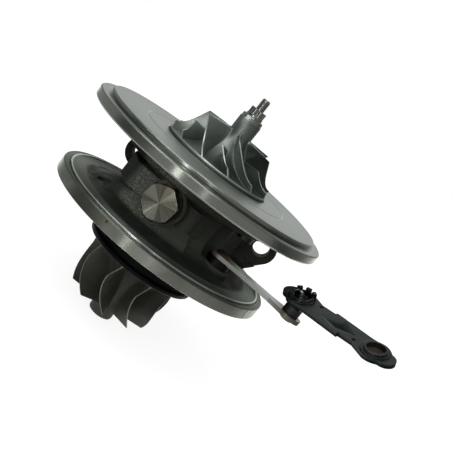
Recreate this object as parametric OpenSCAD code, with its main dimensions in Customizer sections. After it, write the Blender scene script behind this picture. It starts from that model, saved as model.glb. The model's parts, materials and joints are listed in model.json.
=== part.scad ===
// Variable-nozzle turbocharger cartridge: rotor, bearing housing, control lever and link.
// Z is the shaft axis, pointing to the compressor. z = 0 is the turbine face of the flange.

/* [Bearing housing] */
// Outer diameter of the turbine flange
flange_d = 116.6; // [114:0.1:122]
// Thickness of the turbine flange at its rim
flange_t = 5.6; // [5:0.1:7]
// Rise of the cast cone from the flange to the waist
cone_rise = 5; // [4:0.1:6]
// Diameter at which the cast cone gets steeper
land_d = 88; // [84:0.5:92]
// Diameter of the thin raised lip on the flange
lip_d = 109; // [106:0.5:110]
// Height from the turbine face to the back plate's seat
housing_h = 37; // [36:0.5:42]
// Diameter of the waist between the flanges
waist_d = 53; // [50:0.5:56]
// Fillet between the waist and the flanges
waist_fillet = 6; // [4:0.5:7]
// Diameter of the flange under the back plate
seat_flange_d = 80; // [78:0.5:86]
// Thickness of the flange under the back plate
seat_flange_t = 7; // [6:0.5:8]
// Diameter of the nose inside the heat shield
nose_d = 36; // [32:0.5:40]
// Length of the nose below the turbine face
nose_h = 11; // [10:0.5:11.5]
// Distance from the shaft to the foot's face
foot_y = 36; // [34:0.5:40]
// Thickness of the foot and its lugs
foot_t = 9; // [7:0.5:11]
// Distance between the two lug holes
lug_spacing = 77.6; // [76:0.2:86]
// Sideways place of the middle of the lug holes
lug_mid_x = 5.5; // [3:0.1:7]
// Height of the lug holes
lug_z = 21.5; // [20:0.5:23]
// Diameter of the lug holes
lug_hole_d = 9; // [7:0.5:10]
// Outer diameter of the lugs
lug_d = 16.4; // [15:0.2:19]
// Diameter of the oil drain
drain_d = 14; // [12:0.5:15]
// Depth of the oil drain's wide mouth
drain_depth = 16; // [14:0.5:20]
// Diameter of the oil feed
feed_d = 5; // [4:0.5:6]
// Depth of the oil feed's wide mouth
feed_depth = 10; // [8:0.5:12]

/* [Back plate] */
// Outer diameter of the back plate
plate_d = 128; // [126:0.5:134]
// Thickness of the back plate at its rim
plate_t = 4.9; // [4:0.1:6]
// Diameter of the raised face
face_d = 117.7; // [114:0.1:120]
// Height of the raised face above the rim
face_rise = 2.4; // [1.8:0.1:3]
// Diameter of the thin turned groove on the face
turned_groove_d = 79; // [70:0.5:90]
// Thread diameter of the back plate screws
screw_d = 5; // [4:0.5:6]
// Radius on which the screws stand
screw_r = 33; // [32:0.5:34.5]
// Section diameter of the O-ring
o_ring_t = 1.6; // [1.4:0.1:1.8]

/* [Rotor] */
// Diameter of the shaft in its bearing
journal_d = 9; // [8:0.1:10]
// Diameter of the shaft under the thrust parts
thrust_seat_d = 6.4; // [6:0.1:7]
// Diameter of the shaft in the compressor wheel
wheel_seat_d = 5; // [4.6:0.1:5.4]
// Diameter of the thread under the nut
thread_d = 4; // [3.6:0.1:4.4]
// Length of shaft that stands out of the nut
stub_len = 5.8; // [4:0.1:7]
// Diameter of the seal boss next to the turbine wheel
seal_boss_d = 18; // [17:0.2:19]
// Running clearance on radius of the rotating pieces
running_gap = 0.05; // [0.02:0.01:0.08]
// Width of the shaft nut across its lobes
nut_d = 8; // [7.4:0.1:9]
// Height of the shaft nut
nut_h = 4.2; // [3.6:0.1:5.4]

/* [Compressor wheel] */
// Outer diameter of the compressor wheel
comp_d = 56; // [54:0.2:57]
// Diameter of the inlet of the compressor wheel
inducer_d = 40.6; // [38:0.2:43]
// Diameter of the hub's nose
comp_nose_d = 11.7; // [11:0.1:13]
// Height of the hub from its back to its nose
comp_hub_h = 28.1; // [27:0.1:30]
// Height of the full blades
comp_blade_h = 17.4; // [16.5:0.1:18]
// Height of the blades at the outlet
comp_exit_h = 5.4; // [4.8:0.1:6]
// Number of full blades
full_blades = 6; // [5:1:7]
// Angle that a blade wraps from inlet to outlet
comp_wrap = 43; // [36:1:50]

/* [Turbine wheel] */
// Outer diameter of the turbine wheel
turb_d = 47.3; // [46:0.1:48]
// Diameter at the outlet of the turbine wheel
exducer_d = 41.4; // [39:0.1:43]
// Length of the blades along the shaft
turb_blade_len = 26; // [24:0.1:28]
// Length of the whole turbine wheel
turb_len = 33.4; // [32:0.1:37]
// Diameter of the hub's nose
turb_nose_d = 12.6; // [12:0.1:14]
// Number of turbine blades
turb_blades = 9; // [8:1:12]
// Angle that a blade turns at its outlet
turb_turn = 24; // [18:1:30]

/* [Heat shield] */
// Outer diameter of the shield's wall
shield_d = 55; // [54:0.2:56]
// Diameter of the shield's lower lip
shield_lip_d = 58; // [57:0.2:59.5]
// Depth of the shield below the turbine face
shield_h = 14.7; // [14:0.1:16]
// Height of the shield's lower lip
shield_lip_h = 2.6; // [2:0.1:3.5]
// Sheet thickness of the shield
shield_t = 0.9; // [0.7:0.1:1.2]

/* [Plug] */
// Width across the flats of the plug
plug_af = 15.5; // [14:0.5:16]
// Height of the plug's head
plug_head_h = 6.5; // [5:0.1:8]
// Thread diameter of the plug
plug_thread_d = 11; // [10:0.5:12]
// Length of the plug's thread
plug_thread_len = 13; // [10:0.5:14]
// Height of the plug's axis
plug_z = 21.1; // [19:0.1:22]
// Angle of the plug's axis from the front
plug_lean = 12; // [6:1:16]
// Distance from the shaft to the plug's seat
plug_seat = 34.8; // [34:0.1:37]
// Diameter of the boss under the plug
plug_boss_d = 20; // [19.5:0.5:22]
// Outer diameter of the plug's washer
washer_d = 16.8; // [16.6:0.1:17.4]
// Thickness of the plug's washer
washer_t = 1.5; // [1:0.1:2]

/* [Lever] */
// Place of the lever's pivot to the right of the shaft
pivot_x = 28; // [27:0.1:30]
// Place of the lever's pivot in front of the shaft
pivot_front = 18; // [17:0.1:20]
// Diameter of the crank shaft
crank_d = 7; // [6:0.1:7.4]
// Outer diameter of the crank bush
bush_d = 11; // [10:0.1:12]
// Height of the bush's seat above the turbine face
bush_seat_z = 10.5; // [10:0.1:11.5]
// Height of the bush's collar
bush_collar_h = 3.1; // [2:0.1:3.4]
// Length of the lever from pivot to stud
lever_len = 39.8; // [36:0.1:44]
// Angle of the lever from the X axis
lever_angle = -13.8; // [-20:0.1:-8]
// Thickness of the lever
lever_t = 2; // [1.6:0.1:2.6]
// Width of the lever at its waist
lever_w = 7; // [6:0.1:9]
// Length of the inner crank arm
arm_len = 14.9; // [13:0.1:16]
// Angle of the inner crank arm from the X axis
arm_angle = 48; // [40:1:50]
// Thickness of the inner crank arm
arm_t = 3.4; // [2.6:0.1:4]

/* [Ball joint and link] */
// Diameter of the ball on the lever
ball_d = 9.7; // [9.2:0.1:10]
// Height of the ball's centre above the lever
ball_rise = 8.3; // [8.1:0.1:9]
// Height of the flat on the ball above its centre
ball_flat = 2.9; // [2.4:0.1:3.2]
// Outer diameter of the boot under the ball
boot_d = 8.3; // [7.6:0.1:8.6]
// Height of the boot under the ball
boot_h = 4; // [3:0.1:4.2]
// Distance between the two sockets of the link
link_len = 44.2; // [40:0.1:50]
// Thickness of the link
link_t = 2; // [1.6:0.1:2.2]
// Width of the link's bar
link_w = 11; // [10:0.2:12.6]
// Radius of the rounded ends of the link
link_end_r = 7; // [6.8:0.1:8]
// Bore of the socket at the actuator's end
actuator_bore_d = 8.4; // [8:0.1:9.4]
// Turn of the link about the stud
link_yaw = -43.4; // [-50:0.1:-35]
// Rise of the link towards its far end
link_pitch = 9.3; // [6:0.1:12]
// Roll of the link about its length
link_roll = 29.5; // [24:0.1:31]

/* [Hidden] */
$fn = 72;

// Small sizes that several pieces share
eps = 0.02;
edge = 0.5;
slip = 0.05;
fillet_steps = 8;

// Heights of the bearing stack above the turbine face
seat_z = housing_h;
seat_flange_z = housing_h - seat_flange_t;
thrust_z = housing_h - 10;
thrust_t = 3;
thrust_hole_d = 3.4;
deflector_t = 1;
deflector_z = thrust_z + thrust_t;
spigot_z = deflector_z + deflector_t;
collar_z = thrust_z - 4;
collar_play = 0.1;
bearing_z = 3;
bearing_top = collar_z - 1;
bearing_land = 6;
oil_hole_d = 1.6;
rim_z = seat_z + plate_t;
face_z = rim_z + face_rise;
wheel_recess = 1;
wheel_gap = 0.6;
wheel_z = face_z - wheel_recess + wheel_gap;
nut_z = wheel_z + comp_hub_h;
stub_z = nut_z + nut_h + stub_len;

// Radii of the bearing stack
journal_r = journal_d / 2;
bearing_r = journal_r + 3;
thrust_recess_r = 19.9;
thrust_seat_r = thrust_seat_d / 2;
wheel_seat_r = wheel_seat_d / 2;
collar_r = bearing_r - 0.4;
collar_neck_r = thrust_seat_r + 1.7;
flinger_r = 10;
flinger_t = 1.5;
flinger_gap = 0.3;
sleeve_r = thrust_seat_r + 4.4;
plate_bore_r = sleeve_r + 0.2;
seal_boss_r = seal_boss_d / 2;
seal_bore_r = seal_boss_r + 0.2;

// Piston rings and their grooves
ring_t = 1.6;
ring_deep = 1.4;
ring_side_gap = 0.1;
ring_split = 0.6;
turb_ring_z = -nose_h + 2.4;
comp_ring_z = seat_z + 2.2;

// Turbine end of the shaft
boss_z = -shield_h - 0.3;
boss_top = -nose_h + 8;
turb_z = boss_z;

// Lip and groove on the flange, and the spigot under it
lip_t = 0.8;
lip_h = 0.6;
lip_groove = 1;
spigot_h = 2;

// Foot and lugs
lug_x = [lug_mid_x - lug_spacing / 2, lug_mid_x + lug_spacing / 2];
foot_back = foot_y - foot_t;
foot_low = flange_t - 1;
foot_high = seat_flange_z + 2;
lug_recess = 2.6;
lug_spot_r = lug_d / 2 + 1.4;
pad_rise = 0.6;
pad_low = flange_t + cone_rise + 1.4;
pad_high = seat_flange_z - pad_rise;
drain_z = 19.5;
passage_step = 1.5;
feed_x = 16;
feed_bend = [feed_x, foot_y - feed_depth - 6, lug_z];
feed_end = [1, bearing_r - 0.5, 9];

// Cast block behind the plug: its left corners lie along and across the plug's axis, in waist radii
block_z = flange_t + cone_rise + 4.4;
block_top = seat_flange_z - 3.4;
block_front = plug_seat * 0.83;
block_right = 15.4;
block_left = [[1.09, -0.84], [0.57, -1.14], [0.27, -1.2]];
cast_round = 4;

// Skirt under the block
skirt_from = 211;
skirt_to = 290;
skirt_r = 40;
skirt_slope = 2.4;
skirt_z = flange_t + 2.6;
skirt_top_r = 31;

// Blind pocket in the cast cone
pocket_angle = 201;
pocket_r = 38.2;
pocket_d = 6.6;
pocket_floor = flange_t + 0.4;

// Notch in the flange's rim
notch_angle = -28;
notch_w = 0.9;

// Plug
plug_az = -90 - plug_lean;
plug_head_r = plug_seat + washer_t;
pin_d = 3.4;
spot_face_d = washer_d + 1.4;
plug_chamfer = 0.7;
plug_corner = 50;
pin_in = bearing_r - 1.4;
pin_out = bearing_r + 6;

// Lever stack
pivot = [pivot_x, -pivot_front];
bush_top = bush_seat_z + bush_collar_h;
lever_z = bush_top + 0.3;
lever_top = lever_z + lever_t;
lever_head_r = 5;
lever_end_r = 6.2;
arm_hub_r = 4.8;
arm_end_r = 4.2;
rivet_d = 6;
rivet_head_d = 7.8;
rivet_head_h = 1.2;
rivet_taper = 2;
stud_d = 5;
stud_at = pivot + lever_len * [cos(lever_angle), sin(lever_angle)];
ball_at = [stud_at[0], stud_at[1], lever_top + ball_rise];
arm_top = -1;
arm_z = arm_top - arm_t;
arm_at = pivot + arm_len * [cos(arm_angle), sin(arm_angle)];
crank_pin_d = 5;
crank_pin_len = 2.4;
boot_gap = 0.3;

// Small holes in the link
link_hole = [9.9, 2.6];
link_hole_d = 2;

// Link sockets
socket_r = ball_d / 2 + 0.75;
socket_flange_r = socket_r + 0.9;
socket_flange_t = 0.6;
socket_rise = 1.4;
socket_rim_r = socket_r - 0.3;
socket_lugs = [60, 105, 150, 250];
socket_lug_w = 2.4;
socket_lug_h = 2.6;
socket_lug_t = 1.6;
socket_edge = 0.2;

// Back plate
plate_collar_t = 4;
plate_collar_h = 2.5;
plate_spigot_t = 4.6;
rim_edge = 0.8;
rim_groove_w = 1.4;
rim_groove_h = 0.7;
line_deep = 0.3;

// Screws of the back plate
screw_angles = [5, 148, 172, 340];
screw_head_h = 3.6;
screw_head_d = screw_d * 1.6;
screw_depth = plate_t + 0.6;

// A revolved solid from a list of radius and height pairs
module turned(points) {
    rotate_extrude() polygon(points);
}

// Points of an arc, from one angle to another
function arc(cx, cy, r, from, to) =
    [for (i = [0 : fillet_steps]) let (a = from + (to - from) * i / fillet_steps)
        [cx + r * cos(a), cy + r * sin(a)]];

// A straight ring
module ring(outer_r, inner_r, z, h) {
    translate([0, 0, z]) difference() {
        cylinder(r = outer_r, h = h);
        translate([0, 0, -1]) cylinder(r = inner_r, h = h + 2);
    }
}

// Children turned to the plug's axis: local Z runs outwards from the shaft
module on_plug_axis() {
    translate([0, 0, plug_z]) rotate([0, 0, plug_az]) rotate([0, 90, 0]) children();
}

// Children placed on each screw's axis
module on_screws() {
    for (a = screw_angles) rotate([0, 0, a]) translate([screw_r, 0, 0]) children();
}

// A flat shape in X and Z, extruded from the foot's back to its face
module along_foot(from_y, to_y) {
    translate([0, to_y, 0]) rotate([90, 0, 0]) linear_extrude(to_y - from_y) children();
}

// The turned and cast body of revolution
module housing_casting() {
    cone_z = flange_t + cone_rise;
    lip_out = lip_d / 2 + lip_t / 2;
    lip_in = lip_d / 2 - lip_t / 2;
    fillet_r = waist_d / 2 + waist_fillet;
    spigot_r = shield_d / 2 - shield_t - slip;
    turned(concat(
        [[0, -nose_h], [nose_d / 2, -nose_h], [nose_d / 2, -spigot_h], [spigot_r, -spigot_h],
         [spigot_r, 0], [flange_d / 2, 0],
         [flange_d / 2, flange_t - edge], [flange_d / 2 - edge, flange_t], [lip_out + lip_groove, flange_t],
         [lip_out + lip_t, flange_t - lip_h], [lip_out, flange_t - lip_h], [lip_out, flange_t + lip_h],
         [lip_in, flange_t + lip_h], [lip_in, flange_t], [land_d / 2, flange_t + lip_h]],
        arc(fillet_r, cone_z + waist_fillet, waist_fillet, 265, 180),
        arc(fillet_r, seat_flange_z - waist_fillet, waist_fillet, 180, 95),
        [[seat_flange_d / 2 - 1, seat_flange_z], [seat_flange_d / 2, seat_flange_z + 1],
         [seat_flange_d / 2, seat_z], [0, seat_z]]));
}

// Outline of the foot with its two lugs
module foot_outline() {
    half = waist_d / 2 - 4;
    lug_r = lug_d / 2;
    lug_low = lug_r * [cos(-38), sin(-38)];
    for (x = lug_x) translate([x, lug_z]) circle(r = lug_r);
    polygon([[-half, foot_low], [lug_x[1] - lug_r / 2, foot_low], [lug_x[1] + lug_low[0], lug_z + lug_low[1]],
        [lug_x[1], lug_z + lug_r], [half, foot_high], [-half, foot_high],
        [lug_x[0], lug_z + lug_r], [lug_x[0] - lug_low[0], lug_z + lug_low[1]]]);
}

// The raised face that is machined flat
module pad_outline() {
    wide = lug_spacing + 2 * lug_d;
    intersection() {
        foot_outline();
        translate([lug_mid_x - wide / 2, pad_low]) square([wide, pad_high - pad_low]);
    }
}

// The foot and the neck that carries it
module foot() {
    neck_left = -waist_d / 2 + 3;
    neck_right = lug_x[1] - lug_spot_r - 1.2;
    along_foot(foot_back - lug_recess, foot_y - pad_rise) foot_outline();
    along_foot(foot_back, foot_y) pad_outline();
    translate([0, 0, flange_t]) linear_extrude(seat_flange_z - flange_t + 1)
        polygon([[neck_left, 0], [waist_d / 2 - 1, 0], [neck_right, foot_back - foot_t],
            [neck_right, foot_back + 1], [neck_left, foot_back + 1]]);
}

// The cast block behind the plug, and the skirt that it stands on
module feed_block() {
    inner_x = block_front - cast_round;
    inner_y = block_right - cast_round;
    translate([0, 0, block_z]) rotate([0, 0, plug_az]) linear_extrude(block_top - block_z)
        polygon(concat([[0, waist_d / 4], [waist_d / 3, waist_d * 0.37]],
            arc(inner_x, inner_y, cast_round, 90, 0), block_left * waist_d / 2, [[0, -waist_d / 4]]));
    rotate([0, 0, skirt_from]) rotate_extrude(angle = skirt_to - skirt_from)
        polygon([[waist_d / 4, flange_t], [skirt_r, flange_t], [skirt_r, flange_t + lip_h],
            [skirt_r - skirt_slope, skirt_z], [skirt_top_r, block_z + edge], [waist_d / 4, block_z + edge]]);
}

// Everything that is bored, drilled or milled out of the casting
module housing_cuts() {
    below = nose_h + 1;
    translate([0, 0, -below]) cylinder(r = seal_bore_r, h = below - 3);
    translate([0, 0, -3 - eps]) cylinder(r = seal_bore_r + 2.5, h = bearing_z + 3 + eps);
    cylinder(r = bearing_r, h = collar_z);
    translate([0, 0, bearing_top]) cylinder(r = bearing_r + 1.5, h = thrust_z - bearing_top + eps);
    translate([0, 0, thrust_z]) cylinder(r = thrust_recess_r, h = seat_z);
    ring(o_ring_r() + o_ring_t * 0.7, o_ring_r() - o_ring_t * 0.7, seat_z - o_ring_t, o_ring_t + 1);
    drilled([0, foot_y - drain_depth, drain_z], [0, foot_y + 1, drain_z], drain_d);
    drilled([0, bearing_r - 2, drain_z], [0, foot_y, drain_z], drain_d - 2 * passage_step);
    translate([-drain_d / 2 - 5, bearing_r - 1, -2]) cube([8, 6, thrust_z + 3]);
    drilled([feed_x, foot_y - feed_depth, lug_z], [feed_x, foot_y + 1, lug_z], feed_d);
    drilled([feed_x, foot_y - feed_depth + 1, lug_z], feed_bend, feed_d - passage_step);
    drilled(feed_bend, feed_end, feed_d - passage_step);
    rotate([0, 0, pocket_angle]) translate([pocket_r, 0, pocket_floor]) cylinder(d = pocket_d, h = cone_rise);
    on_plug_axis() {
        translate([0, 0, plug_seat - plug_thread_len - 2]) cylinder(d = plug_thread_d + 2 * slip, h = 40);
        translate([0, 0, bearing_r - 1]) cylinder(d = pin_d + 2 * eps, h = plug_seat);
        translate([0, 0, plug_seat]) cylinder(d = spot_face_d, h = seat_flange_d / 4);
    }
    for (x = lug_x) translate([x, foot_back - 1, lug_z]) rotate([-90, 0, 0])
        cylinder(d = lug_hole_d, h = foot_t + 2);
    for (x = lug_x) translate([x, foot_back - 2 * lug_recess, lug_z]) rotate([-90, 0, 0])
        cylinder(r = lug_spot_r, h = 2 * lug_recess);
    rotate([0, 0, notch_angle]) translate([flange_d / 2 - notch_w, -notch_w / 2, -1])
        cube([2 * notch_w, notch_w, flange_t + 2]);
    translate([pivot[0], pivot[1], -1]) cylinder(d = bush_d + 2 * eps, h = bush_seat_z + 2);
    translate([pivot[0], pivot[1], bush_seat_z]) cylinder(d = bush_d + 8, h = seat_flange_z - bush_seat_z);
    on_screws() {
        translate([0, 0, seat_flange_z - 1]) cylinder(d = screw_d + 0.5, h = seat_flange_t + 2);
        translate([0, 0, seat_flange_z - 2 * screw_head_h])
            cylinder(d = screw_head_d + 2, h = 2 * screw_head_h);
    }
}

// A straight drilled passage between two points
module drilled(from, to, d) {
    way = to - from;
    long = norm(way);
    translate(from) rotate([0, acos(way[2] / long), atan2(way[1], way[0])]) cylinder(d = d, h = long);
}

function o_ring_r() = thrust_recess_r + 4.3;

module bearing_housing() {
    color("dimgray") difference() {
        union() {
            housing_casting();
            foot();
            feed_block();
            on_plug_axis() translate([0, 0, waist_d / 3])
                cylinder(d = plug_boss_d, h = plug_seat - waist_d / 3);
            translate([pivot[0], pivot[1], flange_t - 1])
                cylinder(d = bush_d + 5, h = bush_seat_z - flange_t + 1);
        }
        housing_cuts();
    }
}

module back_plate() {
    rim_r = plate_d / 2;
    face_r = face_d / 2;
    groove_r = turned_groove_d / 2;
    recess_r = comp_d / 2 + wheel_gap;
    recess_z = face_z - wheel_recess;
    collar_out = plate_bore_r + plate_collar_t;
    spigot_out = thrust_recess_r - 2 * slip;
    spigot_in = thrust_recess_r - plate_spigot_t;
    color("silver") difference() {
        turned([[plate_bore_r, seat_z - plate_collar_h], [collar_out, seat_z - plate_collar_h],
            [collar_out, seat_z], [spigot_in, seat_z], [spigot_in, spigot_z], [spigot_out, spigot_z],
            [spigot_out, seat_z], [rim_r - rim_edge, seat_z], [rim_r, seat_z + rim_edge],
            [rim_r, rim_z - edge], [rim_r - edge, rim_z], [face_r + rim_groove_w, rim_z],
            [face_r + rim_groove_w - line_deep, rim_z - rim_groove_h],
            [face_r - edge, rim_z - rim_groove_h], [face_r - edge, rim_z + line_deep],
            [face_r, rim_z + rim_edge], [face_r, face_z - edge], [face_r - edge, face_z],
            [groove_r + line_deep, face_z], [groove_r, face_z - line_deep], [groove_r - line_deep, face_z],
            [recess_r, face_z], [recess_r, recess_z], [plate_bore_r, recess_z]]);
        on_screws() translate([0, 0, seat_z - 1]) cylinder(d = screw_d + 2 * eps, h = screw_depth + 1);
    }
}

module back_plate_screws() {
    color("gray") on_screws() {
        translate([0, 0, seat_flange_z - screw_head_h]) difference() {
            cylinder(d = screw_head_d, h = screw_head_h);
            translate([0, 0, -1]) cylinder(d = screw_d * 0.9, h = screw_head_h * 0.6 + 1, $fn = 6);
        }
        translate([0, 0, seat_flange_z]) cylinder(d = screw_d, h = seat_flange_t + screw_depth - 0.5);
    }
}

module back_plate_o_ring() {
    color("black") translate([0, 0, seat_z - o_ring_t / 2])
        rotate_extrude() translate([o_ring_r(), 0]) circle(d = o_ring_t - 2 * eps, $fn = 32);
}

module journal_bearing() {
    outer_r = bearing_r - slip;
    inner_r = journal_r + running_gap;
    waist_from = bearing_z + bearing_land;
    waist_to = bearing_top - bearing_land;
    waist_r = outer_r - 2 * edge;
    relief_r = inner_r + edge;
    color("goldenrod") difference() {
        turned([[inner_r, bearing_z], [outer_r - edge, bearing_z], [outer_r, bearing_z + edge],
            [outer_r, waist_from], [waist_r, waist_from + 2 * edge], [waist_r, waist_to - 2 * edge],
            [outer_r, waist_to], [outer_r, bearing_top - edge], [outer_r - edge, bearing_top],
            [inner_r, bearing_top], [inner_r, waist_to + edge], [relief_r, waist_to],
            [relief_r, waist_from], [inner_r, waist_from - edge]]);
        on_plug_axis() translate([0, 0, journal_r]) cylinder(d = pin_d + 6 * slip, h = bearing_r);
        for (z = [bearing_z + bearing_land / 2, bearing_top - bearing_land / 2])
            for (a = [30 : 120 : 270])
                translate([0, 0, z]) rotate([0, 90, a]) cylinder(d = oil_hole_d, h = bearing_r + 1);
    }
}

module bearing_pin() {
    color("silver") on_plug_axis() translate([0, 0, pin_in]) cylinder(d = pin_d, h = pin_out - pin_in);
}

module thrust_bearing() {
    color("goldenrod") difference() {
        ring(thrust_recess_r - slip, collar_neck_r + 0.15, thrust_z, thrust_t);
        for (i = [0 : 3]) rotate([0, 0, 45 + 90 * i]) translate([thrust_recess_r * 0.7, 0, thrust_z - 1])
            cylinder(d = thrust_hole_d, h = thrust_t + 2);
    }
}

module oil_deflector() {
    color("gray") ring(thrust_recess_r - slip, flinger_r - 2, deflector_z, deflector_t);
}

module heat_shield() {
    wall_r = shield_d / 2;
    lip_r = shield_lip_d / 2;
    hole_r = seal_boss_r + 1;
    low = -shield_h;
    color("black") turned([[hole_r, low + 1.2], [hole_r + 1, low], [lip_r - 0.6, low], [lip_r, low + 0.6],
        [lip_r, low + shield_lip_h - 0.6], [lip_r - 0.6, low + shield_lip_h], [wall_r, low + shield_lip_h],
        [wall_r, 0], [wall_r - shield_t, 0], [wall_r - shield_t, low + shield_lip_h],
        [wall_r - shield_t - 1.6, low + 1.2 + shield_t], [hole_r, low + 1.2 + shield_t]]);
}

// A split sealing ring that springs out into its bore
module piston_ring(outer_r, z) {
    color("gray") difference() {
        ring(outer_r - eps, outer_r - ring_deep + 0.2, z, ring_t);
        translate([0, -ring_split / 2, z - 1]) cube([outer_r + 1, ring_split, ring_t + 2]);
    }
}

module turbine_piston_ring() {
    piston_ring(seal_bore_r, turb_ring_z);
}

module compressor_piston_ring() {
    piston_ring(plate_bore_r, comp_ring_z);
}

module hex_plug() {
    head_r = plug_af / cos(30) / 2;
    color("dimgray") on_plug_axis() {
        translate([0, 0, plug_head_r]) intersection() {
            rotate([0, 0, plug_corner]) cylinder(r = head_r, h = plug_head_h, $fn = 6);
            cylinder(r1 = head_r + plug_head_h, r2 = head_r - plug_chamfer, h = plug_head_h);
        }
        translate([0, 0, plug_seat - plug_thread_len])
            cylinder(d = plug_thread_d, h = plug_thread_len + washer_t + 1);
    }
}

module plug_washer() {
    color("peru") on_plug_axis() ring(washer_d / 2, plug_thread_d / 2 + slip, plug_seat, washer_t);
}

module crank_bush() {
    bore_r = crank_d / 2 + running_gap;
    color("silver") translate([pivot[0], pivot[1], 0]) {
        ring(bush_d / 2, bore_r, 0, bush_seat_z);
        ring(bush_d / 2 + edge, bore_r, bush_seat_z, bush_collar_h);
    }
}

module rotor_shaft() {
    groove_r = seal_bore_r - ring_deep;
    color("gainsboro") turned([[0, boss_z], [seal_boss_r, boss_z], [seal_boss_r, turb_ring_z - ring_side_gap],
        [groove_r, turb_ring_z - ring_side_gap], [groove_r, turb_ring_z + ring_t + ring_side_gap],
        [seal_boss_r, turb_ring_z + ring_t + ring_side_gap], [seal_boss_r, boss_top - 1],
        [seal_boss_r - 1, boss_top], [journal_r + 1, boss_top], [journal_r, boss_top + 1],
        [journal_r, collar_z], [thrust_seat_r, collar_z], [thrust_seat_r, wheel_z],
        [wheel_seat_r, wheel_z], [wheel_seat_r, nut_z - 1], [thread_d / 2, nut_z - 0.6],
        [thread_d / 2, stub_z - edge], [thread_d / 2 - edge, stub_z],
        [0, stub_z]]);
}

module thrust_collar() {
    neck_top = thrust_z + thrust_t + collar_play;
    bore_r = thrust_seat_r + slip;
    color("silver") turned([[bore_r, collar_z], [collar_r, collar_z], [collar_r, thrust_z - collar_play],
        [collar_neck_r, thrust_z - collar_play], [collar_neck_r, neck_top], [bore_r, neck_top]]);
}

module oil_flinger() {
    bore_r = thrust_seat_r + slip;
    low = thrust_z + thrust_t + collar_play;
    groove_r = plate_bore_r - ring_deep;
    disc_z = spigot_z + flinger_gap;
    neck_r = flinger_r - thrust_t;
    color("silver") turned([[bore_r, low], [neck_r, low], [neck_r, disc_z], [flinger_r, disc_z],
        [flinger_r, disc_z + flinger_t], [sleeve_r, disc_z + flinger_t + edge],
        [sleeve_r, comp_ring_z - ring_side_gap], [groove_r, comp_ring_z - ring_side_gap],
        [groove_r, comp_ring_z + ring_t + ring_side_gap], [sleeve_r, comp_ring_z + ring_t + ring_side_gap],
        [sleeve_r, wheel_z], [bore_r, wheel_z]]);
}

// One blade as a closed skin over a grid of stations along the flow and steps up the span.
// Each grid point is a radius, an angle and a height; the root is sunk into the hub.
blade_steps = 12;
span_steps = 3;
root_sink = 0.6;
function blade_point(p, half_t) =
    let (turn = half_t / p[0] * 180 / PI) [p[0] * cos(p[1] + turn), p[0] * sin(p[1] + turn), p[2]];
function quad(a, b, c, d) = [[a, c, b], [a, d, c]];

// Points of both faces of the blade, then the faces that close it
module blade_skin(grid, hub_half_t, tip_half_t) {
    tip = span_steps;
    last = blade_steps;
    across = tip + 1;
    side = (last + 1) * across;
    function half_t(j) = hub_half_t + (tip_half_t - hub_half_t) * j / span_steps;
    function at(i, j, s) = s * side + i * across + j;
    points = [for (s = [0, 1]) for (i = [0 : blade_steps]) for (j = [0 : span_steps])
        blade_point(grid[i][j], (s * 2 - 1) * half_t(j))];
    walls = [for (i = [0 : blade_steps - 1]) for (j = [0 : span_steps - 1]) each concat(
        quad(at(i, j, 0), at(i + 1, j, 0), at(i + 1, j + 1, 0), at(i, j + 1, 0)),
        quad(at(i, j, 1), at(i, j + 1, 1), at(i + 1, j + 1, 1), at(i + 1, j, 1)))];
    edges = [for (i = [0 : blade_steps - 1]) each concat(
        quad(at(i, 0, 0), at(i, 0, 1), at(i + 1, 0, 1), at(i + 1, 0, 0)),
        quad(at(i, tip, 0), at(i + 1, tip, 0), at(i + 1, tip, 1), at(i, tip, 1)))];
    ends = [for (j = [0 : span_steps - 1]) each concat(
        quad(at(0, j, 0), at(0, j + 1, 0), at(0, j + 1, 1), at(0, j, 1)),
        quad(at(last, j, 0), at(last, j, 1), at(last, j + 1, 1), at(last, j + 1, 0)))];
    polyhedron(points, concat(walls, edges, ends));
}

// Hub and shroud lines of the compressor, from inlet (0) to outlet (1)
comp_back_t = 2.2;
comp_hub_drop = comp_blade_h + 1 - comp_back_t;
comp_exit_r = comp_d / 2 - 0.2;
function comp_hub(m) = [comp_d / 2 - (comp_d - comp_nose_d) / 2 * cos(90 * m),
    comp_back_t + comp_hub_drop * (1 - sin(90 * m))];
function comp_root(m) = [min(comp_hub(m)[0], comp_exit_r) - root_sink * cos(90 * m),
    comp_hub(m)[1] - root_sink * sin(90 * m)];
function comp_shroud(m) = [comp_exit_r - (comp_exit_r - inducer_d / 2) * cos(90 * m),
    comp_exit_h + (comp_blade_h - comp_exit_h) * (1 - sin(90 * m))];
comp_rake = 6;
function comp_turn(m, s) = comp_wrap * (1.6 * m - 0.6 * m * m) - comp_rake * s * m;
function comp_at(m, s) = let (h = comp_root(m), t = comp_shroud(m), p = h + (t - h) * s)
    [p[0], comp_turn(m, s), p[1]];
function comp_grid(start) = [for (i = [0 : blade_steps]) let (m = start + (1 - start) * i / blade_steps)
    [for (j = [0 : span_steps]) comp_at(m, j / span_steps)]];

// Angle of the first full blade and the point where the short blades start
comp_first = -87;
splitter_start = 0.34;

// Half thickness of the blades at root and tip, and the step on the hub's nose
comp_root_t = 0.6;
comp_tip_t = 0.35;
nose_step = 2.2;
nose_ledge = 0.3;

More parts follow.
